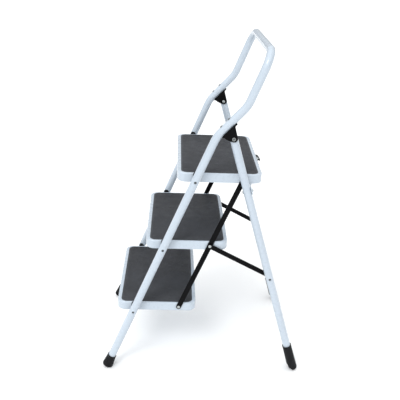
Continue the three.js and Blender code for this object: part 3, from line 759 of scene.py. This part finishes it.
class STEPS_OT_crossbars(bpy.types.Operator):
    """The flattened and bolted upper bar, and the straight lower bar"""

    bl_idname = "steps.crossbars"
    bl_label = "Crossbars"

    def execute(self, context):
        self.upper_bar()
        self.lower_bar()
        return {"FINISHED"}

    def upper_bar(self):
        given = sizes()
        out = rear_out()
        face = given.tube_radius + 0.3 * MM
        bolt = bolt_place()
        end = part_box("crossbar_upper")[1].x
        squeeze_start, squeeze_end = 128 * MM, 158 * MM
        ranks = [-end + 0.2 * MM * k * k for k in range(8)]
        ranks += [-squeeze_end + (squeeze_end - squeeze_start) * k / 12 for k in range(13)]
        ranks += [-100 * MM, -50 * MM]
        ranks = ranks + [0.0] + [-x for x in reversed(ranks)]
        rings = []
        for x in ranks:
            flat = eased((abs(x) - squeeze_start) / (squeeze_end - squeeze_start))
            half_up = given.bar_radius + flat * 1.5 * MM
            half_out = given.bar_radius + flat * (1.5 * MM - given.bar_radius)
            past = max(0.0, abs(x) - (end - 8 * MM)) / (8 * MM)
            half_up *= math.sqrt(max(0.12, 1 - past * past * 0.8))
            centre = bolt + ACROSS * x + out * (face + half_out)
            rings.append(oval(centre, half_up, half_out, 2 + flat * 5))
        bar = solid_piece("crossbar_upper_bar", *skinned(rings), 45)
        finished(bar, finish("painted_frame"), "painted_frame", "rear_frame", "crossbar_upper")

    def lower_bar(self):
        given = sizes()
        centre = centre_of("crossbar_lower")
        reach = LEG_X - given.tube_radius + 1.2 * MM
        line = [centre - ACROSS * reach, centre + ACROSS * reach]
        bar = tube("crossbar_lower_bar", line, given.bar_radius)
        bead_profile = [(11.0, -2.6), (12.6, -1.9), (13.2, -0.6), (12.8, 0.6), (11.0, 0.9)]
        beads = []
        for _, sign in SIDES:
            rings = turned([(r * MM, h * MM) for r, h in bead_profile], 40)
            place = centre + ACROSS * sign * reach
            beads.append(solid_piece("weld", *skinned(aimed(rings, place, ACROSS * sign))))
        joined([bar, *beads])
        finished(bar, finish("painted_frame"), "painted_frame", "rear_frame", "crossbar_lower")


def joined(pieces):
    """Joins pieces into the first, which keeps its name."""
    with bpy.context.temp_override(active_object=pieces[0], selected_editable_objects=pieces):
        bpy.ops.object.join()
    return pieces[0]


def rear_out():
    """At a right angle to the rear legs, away from the climber."""
    return Vector((0, REAR_UP.z, -REAR_UP.y))


def bolt_place():
    """Where the upper crossbar's bolts cross the line of the rear legs."""
    middle = in_side_view(centre_of("crossbar_bolt_right"))
    return HINGE + REAR_UP * (middle - HINGE).dot(REAR_UP)


# ---- treads ------------------------------------------------------------------------------------


def round_corners(centre, half_x, half_y, corner, z, steps=12):
    """A ring round a rectangle with round corners."""
    ring = []
    middles = ((1, -1, -90), (1, 1, 0), (-1, 1, 90), (-1, -1, 180))
    for sign_x, sign_y, start in middles:
        x = centre.x + sign_x * (half_x - corner)
        y = centre.y + sign_y * (half_y - corner)
        for k in range(steps + 1):
            turn = math.radians(start + 90 * k / steps)
            ring.append(Vector((x + corner * math.cos(turn), y + corner * math.sin(turn), z)))
    return ring


def corner_arc(inset, height, radius, start, end, steps=5):
    """Profile points round an edge, as (inset, height) in mm."""
    turns = [math.radians(start + (end - start) * k / steps) for k in range(steps + 1)]
    return [(inset + radius * math.cos(t), height + radius * math.sin(t)) for t in turns]


def tray_profile(depth):
    """The pressed sheet's section in mm, from the floor of the well round to its underside.

    Each part is the name of its outline, "well" or "edge", and its points as (inset from that
    outline, height from the tray's top).
    """
    sheet, fold = 1.2, 4.0
    well = [(1.8, -2.4)] + corner_arc(1.2, -1.6, 0.8, -90, -180, 3)
    well += corner_arc(-0.8, -1.2, 1.2, 0, 90, 4)
    skirt = corner_arc(fold, -fold, fold, 90, 180, 8) + [(0, -depth + 6), (0, -depth + 2)]
    skirt += corner_arc(2, -depth + 2, 2, 180, 270, 4)
    lip = [(8.4, -depth), (9, -depth + 0.6), (8.4, -depth + sheet)]
    inside = corner_arc(2.4, -depth + 2.4, sheet, 270, 180, 3) + [(sheet, -depth + 7)]
    inside += corner_arc(fold, -fold, fold - sheet, 180, 90, 5)
    beneath = [(-1.2, -1.2), (-0.4, -2.2), (0.8, -2.4 - sheet), (2.6, -2.4 - sheet)]
    return [("well", well), ("edge", skirt), ("edge", lip), ("edge", inside), ("well", beneath)]


class STEPS_OT_trays(bpy.types.Operator):
    """Three pressed trays, with a rounded rim, a skirt and a turned-in lip"""

    bl_idname = "steps.trays"
    bl_label = "Trays"

    def execute(self, context):
        given = sizes()
        for tread in TREADS:
            low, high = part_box(f"tray_{tread}")
            centre, half = (low + high) / 2, (high - low) / 2
            outlines = {
                "edge": (half.x, half.y, given.tread_corner),
                "well": (half.x - given.rim_side, half.y - given.rim_end, given.mat_corner),
            }
            rings = []
            for outline, points in tray_profile((high.z - low.z) / MM):
                for inset, height in points:
                    spans = [span - inset * MM for span in outlines[outline]]
                    rings.append(round_corners(centre, *spans, high.z + height * MM))
            tray = solid_piece(f"tray_{tread}_pressed", *skinned(rings), 40)
            body = f"{tread}_step"
            finished(tray, finish("painted_frame"), "painted_frame", body, f"tray_{tread}")
        return {"FINISHED"}


RIB_HEIGHT = 0.35 * MM
PLAIN_EDGE = 4.5 * MM  # of the mat, outside its ribs
STUD = (2.6 * MM, 6.5 * MM, 0.75 * MM)  # half sizes
STUD_GRID = (336 * MM, 196 * MM)
STUD_COUNT = (7, 5)
STUD_SHIFT = 7 * MM  # of the grid, towards the front
STUD_SINK = 0.2 * MM


class STEPS_OT_mats(bpy.types.Operator):
    """Three rubber mats with fine ribs and rows of low studs"""

    bl_idname = "steps.mats"
    bl_label = "Mats"

    def execute(self, context):
        for tread in TREADS:
            self.mat(tread)
        return {"FINISHED"}

    def mat(self, tread):
        given = sizes()
        low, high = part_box(f"mat_{tread}")
        centre, half = (low + high) / 2, (high - low) / 2
        corner = given.mat_corner - 0.3 * MM
        top = high.z - RIB_HEIGHT
        profile = [(0, low.z), (0, top - 0.8 * MM)]
        profile += [(0.25 * MM, top - 0.25 * MM), (0.8 * MM, top)]
        rings = []
        for inset, z in profile:
            rings.append(round_corners(centre, half.x - inset, half.y - inset, corner - inset, z))
        base = solid_piece(f"mat_{tread}_sheet", *skinned(rings), 60)
        mesh = base.data
        bpy.data.objects.remove(base)
        edge = PLAIN_EDGE
        rubber = finish("mat_rubber")
        ribs = {
            "Half Width": half.x - edge,
            "Half Depth": half.y - edge,
            "Corner": corner - edge,
            "Pitch": given.rib_pitch,
            "Height": RIB_HEIGHT,
            "Centre": (centre.x, centre.y, top),
            "Material": rubber,
        }
        ribbed = shaped_by(shared_tree(rib_tree), f"mat_{tread}_ribs", mesh, ribs)
        studs = {
            "Grid Width": STUD_GRID[0],
            "Grid Depth": STUD_GRID[1],
            "Across": STUD_COUNT[0],
            "Along": STUD_COUNT[1],
            "Stud": STUD,
            "Centre": (centre.x, centre.y - STUD_SHIFT, high.z - STUD_SINK),
            "Material": rubber,
        }
        mesh = ribbed.data
        bpy.data.objects.remove(ribbed)
        piece = shaped_by(shared_tree(stud_tree), f"mat_{tread}_ribbed", mesh, studs)
        finished(piece, rubber, "mat_rubber", f"{tread}_step", f"mat_{tread}")


# ---- rubber feet -------------------------------------------------------------------------------


def foot_rings(floor_place, up, profile, flutes=0, steps=64):
    """Rings of a foot about a leg's line: profile of (radius, distance up the leg, fluting)."""
    forward = Vector((0, up.z, -up.y))
    rings = []
    for radius, distance, fluting in profile:
        ring = []
        for k in range(steps):
            turn = 2 * math.pi * k / steps
            groove = max(0.0, math.cos(flutes * turn)) ** 2 if flutes else 0
            reach = max(radius - fluting * groove, 1e-5)
            spoke = ACROSS * math.cos(turn) + forward * math.sin(turn)
            ring.append(floor_place + up * distance + spoke * reach)
        rings.append(ring)
    return rings


def edge_arc(radius, edge, end, fluting=0.0, steps=6):
    """A foot's rounded lower edge, from its sole to its side, in metres."""
    points = []
    for k in range(steps + 1):
        turn = math.radians(-90 + 90 * k / steps)
        reach = radius - edge + edge * math.cos(turn)
        share = fluting * k / steps
        points.append((reach, end + edge + edge * math.sin(turn), share))
    return points


CAP_SOLE = 8.7 * MM  # rubber under the end of the tube
CAP_BORE = 12.8 * MM
FRONT_CAP = {"end": 4.7, "radius": 18, "edge": 5, "rise": 41, "taper": 3.4, "mouth": 14.6}
REAR_CAP = {"end": 2.2, "radius": 16.4, "edge": 8, "rise": 95, "taper": 1.3, "mouth": 15.1}
FLUTE_DEPTH = 0.9 * MM
TOE_SLANT, TOE_START = 0.86, 2.5 * MM  # of the rear feet's cut-away toes
TOE_RINGS = 15  # the lowest rings, which the slant may lift


def cap_profile(cap, shares, arc_steps, depth_of_flutes):
    """A foot's outer and inner outline, as (radius, distance up the leg, fluting)."""
    end, radius, edge, rise, taper, mouth = (value * MM for value in cap.values())
    profile = [(0, end, 0)] + edge_arc(radius, edge, end, depth_of_flutes(0), arc_steps)
    for share in shares:
        height = end + edge + share * rise
        profile.append((radius - taper * share, height, depth_of_flutes(share)))
    profile += collar(end + edge + rise, mouth)
    return profile + [(CAP_BORE, end + CAP_SOLE, 0), (0, end + CAP_SOLE, 0)]


class STEPS_OT_feet(bpy.types.Operator):
    """Fluted front feet and long slanted rear feet, in black rubber"""

    bl_idname = "steps.feet"
    bl_label = "Feet"

    def execute(self, context):
        for side, sign in SIDES:
            self.front_foot(side, sign)
            self.rear_foot(side, sign)
        return {"FINISHED"}

    def front_foot(self, side, sign):
        def flutes(share):
            return FLUTE_DEPTH * (1 - eased((share - 0.5) / 0.3))

        profile = cap_profile(FRONT_CAP, (0.2, 0.4, 0.6, 0.7, 0.76, 0.8), 6, flutes)
        place = FRONT_FLOOR + ACROSS * sign * LEG_X
        rings = foot_rings(place, FRONT_UP, profile, sizes().flutes, 128)
        foot = solid_piece(f"foot_front_{side}_cap", *skinned(on_floor(rings)), 50)
        node = f"foot_front_{side}"
        finished(foot, finish("foot_rubber"), "foot_rubber", "front_frame", node)

    def rear_foot(self, side, sign):
        profile = cap_profile(REAR_CAP, (0.1, 0.2, 0.35, 0.6, 0.85), 10, lambda share: 0)
        profile.insert(1, (4 * MM, profile[0][1], 0))
        rings = foot_rings(REAR_FLOOR + ACROSS * sign * LEG_X, REAR_UP, profile)
        for ring in rings[:TOE_RINGS]:
            for vertex in ring:
                slant = (REAR_FLOOR.y + TOE_START - vertex.y) * TOE_SLANT
                vertex.z = max(vertex.z, slant)
        foot = solid_piece(f"foot_rear_{side}_cap", *skinned(on_floor(rings)), 30)
        node = f"foot_rear_{side}"
        finished(foot, finish("foot_rubber"), "foot_rubber", "rear_frame", node)


def collar(height, radius):
    """The thin bead round a foot's mouth, down to its bore."""
    steps = [(0, -3.4), (0.5, -2.6), (0.5, -0.9), (0.1, -0.1), (-0.7, 0), (-1.3, -0.4)]
    points = [(radius + r * MM, height + h * MM, 0) for r, h in steps]
    return points + [(CAP_BORE, height - 1.4 * MM, 0)]


def on_floor(rings):
    for ring in rings:
        for vertex in ring:
            vertex.z = max(vertex.z, 0)
    return rings


# ---- brackets, bushes, links and latch ---------------------------------------------------------


class STEPS_OT_brackets(bpy.types.Operator):
    """Hinge brackets under the shoulders and bushes at the treads"""

    bl_idname = "steps.brackets"
    bl_label = "Brackets And Bushes"

    def execute(self, context):
        for side, _ in SIDES:
            node = f"hinge_bracket_{side}"
            bracket = from_frame(node, f"bracket_{side}_pressed", 0.5 * MM)
            finished(bracket, finish("black_steel"), "black_steel", "front_frame", node)
            for tread in TREADS:
                node = f"tread_spacer_{tread}_{side}"
                bush = from_frame(node, f"bush_{tread}_{side}", 0.3 * MM)
                finished(bush, finish("black_plastic"), "black_plastic", "front_frame", node)
        return {"FINISHED"}


class STEPS_OT_links(bpy.types.Operator):
    """The long links that join the treads, and the braces to the rear legs"""

    bl_idname = "steps.links"
    bl_label = "Links And Braces"

    def execute(self, context):
        for side, _ in SIDES:
            for kind, body in (("link", "side_link"), ("brace", "rear_brace")):
                node = f"{kind}_{side}"
                bar = from_frame(node, f"{kind}_{side}_bar", 0.45 * MM)
                finished(bar, finish("black_steel"), "black_steel", f"{body}_{side}", node)
        return {"FINISHED"}


class STEPS_OT_latch(bpy.types.Operator):
    """The latch behind the top tread: bracket, pin and thumb lever"""

    bl_idname = "steps.latch"
    bl_label = "Latch"

    def execute(self, context):
        plate = from_frame("latch_bracket", "latch_bracket_pressed", 0.35 * MM)
        finished(plate, finish("dull_zinc"), "black_steel", "upper_step", "latch_bracket")
        pin = from_frame("latch_pin", "latch_pin_rod", 0.25 * MM)
        finished(pin, finish("zinc"), "zinc", "upper_step", "latch_pin")
        lever = from_frame("latch_lever", "latch_lever_moulded", 0.6 * MM)
        finished(lever, finish("black_plastic"), "black_plastic", "latch", "latch_lever")
        return {"FINISHED"}


# ---- rivets and bolts --------------------------------------------------------------------------


def dome(radius, height, shank_radius, shank, steps=6):
    """A domed head with a shank below: (radius, height above the seat), in mm."""
    points = [(0, -shank), (shank_radius, -shank), (shank_radius, 0), (radius - 0.2, 0), (radius, 0.2)]
    for k in range(steps):
        turn = math.radians(90 * (k + 1) / steps)
        points.append((radius * math.cos(turn), 0.4 + (height - 0.4) * math.sin(turn)))
    return points


SKIRT_INSIDE = 198.9 * MM  # from the middle plane to where each row of heads sits
LINK_FLUSH = 204.0 * MM
LINK_OUTSIDE = 204.8 * MM
BRACE_INSIDE = 204.7 * MM
BRACE_OUTSIDE = 208.3 * MM
SUNK_SEAT = LEG_X + RECESS_SEAT + 0.3 * MM
CHEEK_OUTSIDE = 15.7 * MM  # from a leg's axis
TUBE_FACE = 12.6 * MM
STRAP_BACK = 16 * MM

ROLLED_RING = [
    (0, -6), (3, -6), (3, 0), (5.3, 0), (5.7, 0.4), (5.8, 1.1), (5.4, 1.8), (4.8, 2.1),
    (4, 2.15), (3.2, 1.8), (2.6, 1.1), (2.3, 0.2), (2.2, -3), (0, -3),
]
BOLT_HEAD = [
    (0, -6), (2.5, -6), (2.5, 0), (5, 0), (5.2, 0.3), (5.2, 1.9), (4.7, 2.5), (3.2, 3.1), (1.6, 3.3),
    (0, 3.4),
]


def fasteners(name, profile, places, material, slot, body, nodes):
    """Like fasteners at these (place, aim) pairs, as one piece that stands for the nodes."""
    rings = turned([(r * MM, h * MM) for r, h in profile], 28)
    part = solid_piece(f"{name}_part", *skinned(rings), 30)
    mesh = bpy.data.meshes.new(name)
    mesh.from_pydata([tuple(place) for place, _ in places], [], [])
    aim = mesh.attributes.new("aim", "FLOAT_VECTOR", "POINT")
    aim.data.foreach_set("vector", [value for _, direction in places for value in direction])
    values = {"Fastener": part, "Material": finish(material)}
    piece = shaped_by(shared_tree(rivet_tree), name, mesh, values)
    bpy.data.objects.remove(part)
    mark_edges(piece.data, 30)
    return finished(piece, finish(material), slot, body, *nodes)


def across(place, x):
    return in_side_view(place) + ACROSS * x


def shoulder_direction():
    lean = sizes().shoulder_lean
    return Vector((0, math.sin(lean), math.cos(lean)))


class STEPS_OT_rivets(bpy.types.Operator):
    """Every rivet and bolt, one piece for each kind on each body"""

    bl_idname = "steps.rivets"
    bl_label = "Rivets And Bolts"

    def execute(self, context):
        self.tread_rivets()
        self.shoulder_rivets()
        self.hinge_rivets()
        self.link_rivets()
        self.brace_rivets()
        self.crossbar_bolts()
        return {"FINISHED"}

    def tread_rivets(self):
        places, inner_places, nodes = [], [], []
        for tread, pivot in TREAD_PIVOT.items():
            for side, sign in SIDES:
                places.append((across(pivot, sign * SUNK_SEAT), ACROSS * sign))
                inner_places.append((across(pivot, sign * SKIRT_INSIDE), ACROSS * -sign))
                nodes.append(f"tread_rivet_{tread}_{side}")
        head = dome(3.8, 2.1, 3, 32)
        # The sunk heads are zinc darkened as painted shade of the recesses they sit in
        fasteners("tread_rivets", head, places, "recess_shade_zinc", "zinc", "front_frame", nodes)
        head = dome(5, 1.6, 3, 1)
        fasteners("tread_rivet_tails", head, inner_places, "zinc", "zinc", "front_frame", [])

    def shoulder_rivets(self):
        out = square_to(shoulder_direction())
        places, nodes = [], []
        for side, sign in SIDES:
            for which in ("lower", "upper"):
                node = f"bracket_rivet_{side}_{which}"
                centre = centre_of(node)
                bend = hoop_corners()[1]
                run = (in_side_view(centre) - bend).dot(shoulder_direction())
                on_axis = bend + shoulder_direction() * run
                places.append((across(on_axis - out * TUBE_FACE, centre.x), -out))
                nodes.append(node)
        head = dome(4.6, 2.2, 2.5, 28)
        fasteners("shoulder_rivets", head, places, "dull_zinc", "zinc", "front_frame", nodes)

    def hinge_rivets(self):
        seat, inside = LEG_X + CHEEK_OUTSIDE, LEG_X - CHEEK_OUTSIDE
        places = [(across(HINGE, sign * seat), ACROSS * sign) for _, sign in SIDES]
        nodes = [f"hinge_rivet_{side}" for side, _ in SIDES]
        fasteners("hinge_rivets", ROLLED_RING, places, "dull_zinc", "black_steel", "front_frame", nodes)
        inner = [(across(HINGE, sign * inside), ACROSS * -sign) for _, sign in SIDES]
        head = dome(5, 1.3, 3, 26)
        fasteners("hinge_rivet_tails", head, inner, "zinc", "zinc", "front_frame", [])

    def link_rivets(self):
        for tread, pivot in TREAD_PIVOT.items():
            flush = tread == "middle"
            seat = LINK_FLUSH if flush else LINK_OUTSIDE
            place = pivot + LINK_OFFSET
            places = [(across(place, sign * seat), ACROSS * sign) for _, sign in SIDES]
            nodes = [f"link_rivet_{tread}_{side}" for side, _ in SIDES]
            head = dome(3, 0.5, 3, 7) if flush else dome(5, 1.8, 3, 7)
            name = f"link_rivets_{tread}"
            fasteners(name, head, places, "zinc", "zinc", f"{tread}_step", nodes)

    def brace_rivets(self):
        for side, sign in SIDES:
            place = across(TREAD_PIVOT["middle"] + LINK_OFFSET, sign * BRACE_OUTSIDE)
            body, node = f"rear_brace_{side}", f"brace_head_{side}"
            name, places = f"brace_rivet_head_{side}", [(place, ACROSS * sign)]
            fasteners(name, dome(5, 1.7, 3, 0.2), places, "zinc", "zinc", body, [node])
        places = [(across(BRACE_FOOT, sign * SUNK_SEAT), ACROSS * sign) for _, sign in SIDES]
        nodes = [f"brace_rivet_{side}" for side, _ in SIDES]
        head = dome(3.8, 2.1, 3, 27)
        # The sunk heads are zinc darkened as painted shade of the recesses they sit in
        fasteners("brace_foot_rivets", head, places, "recess_shade_zinc", "zinc", "rear_frame", nodes)
        inner = [(across(BRACE_FOOT, sign * BRACE_INSIDE), ACROSS * -sign) for _, sign in SIDES]
        head = dome(5, 1.5, 3, 4)
        fasteners("brace_rivet_tails", head, inner, "zinc", "zinc", "rear_frame", [])

    def crossbar_bolts(self):
        out = rear_out()
        place = bolt_place()
        back = [(across(place + out * STRAP_BACK, sign * LEG_X), out) for _, sign in SIDES]
        nodes = [f"crossbar_bolt_{side}" for side, _ in SIDES]
        fasteners("crossbar_bolts", BOLT_HEAD, back, "zinc", "zinc", "rear_frame", nodes)
        front = [(across(place - out * TUBE_FACE, sign * LEG_X), -out) for _, sign in SIDES]
        head = dome(4.6, 2.8, 2.5, 3)
        fasteners("crossbar_bolt_heads", head, front, "zinc", "zinc", "rear_frame", [])


# ---- stage -------------------------------------------------------------------------------------


class STEPS_OT_stage(bpy.types.Operator):
    """Pale floor, soft light and camera"""

    bl_idname = "steps.stage"
    bl_label = "Stage"

    KEY = (0.62, -0.32, 0.72)  # towards the light
    AROUND, OVERHEAD, LOBE = 0.38, 0.9, 0.8  # brightness all round, from above and from the key

    def execute(self, context):
        self.floor()
        self.light()
        self.camera()
        context.scene.view_settings.view_transform = "Standard"
        return {"FINISHED"}

    def floor(self):
        mesh = bpy.data.meshes.new("studio_floor")
        reach, count = 40.0, 64
        ring = [2 * math.pi * k / count for k in range(count)]
        corners = [(reach * math.cos(a), reach * math.sin(a), 0) for a in ring]
        mesh.from_pydata(corners, [], [tuple(range(count))])
        mesh.materials.append(finish("floor"))
        added("studio_floor", mesh)

    def light(self):
        """A pale dome, brighter overhead and towards the camera, and one wide soft lamp."""
        world = bpy.data.worlds.new("studio_light")
        world.use_nodes = True
        tree = Tree(world.node_tree)
        sky = world.node_tree.nodes["Background"]
        sky.inputs["Color"].default_value = (0.975, 0.99, 1.0, 1)
        heading = tree.node("ShaderNodeTexCoord").outputs["Generated"]
        height = self.facing(tree, heading, (0, 0, 1))
        towards = self.facing(tree, heading, self.KEY)
        lobe = tree.math("MULTIPLY", tree.math("POWER", towards, 3.0), self.LOBE)
        dome = tree.math("ADD", tree.math("MULTIPLY", height, self.OVERHEAD), self.AROUND)
        tree.feed(sky, "Strength", tree.math("ADD", dome, lobe))
        bpy.context.scene.world = world
        light = bpy.data.lights.new("soft_lamp", "SUN")
        light.angle = math.radians(20)
        light.energy = 1.0
        lamp = added("soft_lamp", light)
        lamp.rotation_euler = (-Vector(self.KEY)).to_track_quat("-Z", "Y").to_euler()

    def facing(self, tree, heading, direction):
        """How far a heading points along a direction, from 0 to 1."""
        dot = tree.node("ShaderNodeVectorMath", {"operation": "DOT_PRODUCT"})
        tree.feed(dot, "0", heading)
        tree.feed(dot, "1", Vector(direction).normalized())
        return tree.math("MAXIMUM", dot.outputs["Value"], 0.0)

    def camera(self):
        given = bpy.context.scene.steps_camera
        data = bpy.data.cameras.new("camera")
        data.lens = given.lens
        data.sensor_width = 36
        data.shift_x = given.slide
        data.clip_start, data.clip_end = 0.05, 100
        camera = added("camera", data)
        ahead = Vector((-math.cos(given.turn), -math.sin(given.turn), 0))
        right = Vector((-math.sin(given.turn), math.cos(given.turn), 0))
        up = Vector((0, 0, 1))
        sight = ahead * math.cos(given.dip) - up * math.sin(given.dip)
        top = up * math.cos(given.dip) + ahead * math.sin(given.dip)
        side = right * math.cos(given.roll) + top * math.sin(given.roll)
        top = top * math.cos(given.roll) - right * math.sin(given.roll)
        turn = Matrix((side, top, -sight)).transposed()
        camera.matrix_world = Matrix.Translation(Vector(given.place)) @ turn.to_4x4()
        bpy.context.scene.camera = camera


# ---- add-on ------------------------------------------------------------------------------------

OPERATORS = (
    STEPS_OT_stage,
    STEPS_OT_front_hoop,
    STEPS_OT_rear_legs,
    STEPS_OT_crossbars,
    STEPS_OT_trays,
    STEPS_OT_mats,
    STEPS_OT_feet,
    STEPS_OT_brackets,
    STEPS_OT_links,
    STEPS_OT_latch,
    STEPS_OT_rivets,
)


class STEPS_PT_panel(bpy.types.Panel):
    bl_idname = "STEPS_PT_panel"
    bl_label = "Folding Steps"
    bl_space_type = "VIEW_3D"
    bl_region_type = "UI"
    bl_category = "Steps"

    def draw(self, context):
        for group in (context.scene.steps_sizes, context.scene.steps_colours):
            box = self.layout.box()
            for name in group.__annotations__:
                box.prop(group, name)
        column = self.layout.column()
        for operator in OPERATORS:
            column.operator(operator.bl_idname)


CLASSES = (StepsSizes, StepsColours, StepsCamera, *OPERATORS, STEPS_PT_panel)


def register():
    for item in CLASSES:
        bpy.utils.register_class(item)
    bpy.types.Scene.steps_sizes = PointerProperty(type=StepsSizes)
    bpy.types.Scene.steps_colours = PointerProperty(type=StepsColours)
    bpy.types.Scene.steps_camera = PointerProperty(type=StepsCamera)


def unregister():
    del bpy.types.Scene.steps_camera
    del bpy.types.Scene.steps_colours
    del bpy.types.Scene.steps_sizes
    for item in reversed(CLASSES):
        bpy.utils.unregister_class(item)


def main():
    register()
    for operator in OPERATORS:
        group, name = operator.bl_idname.split(".")
        getattr(getattr(bpy.ops, group), name)()


if __name__ == "__main__":
    main()
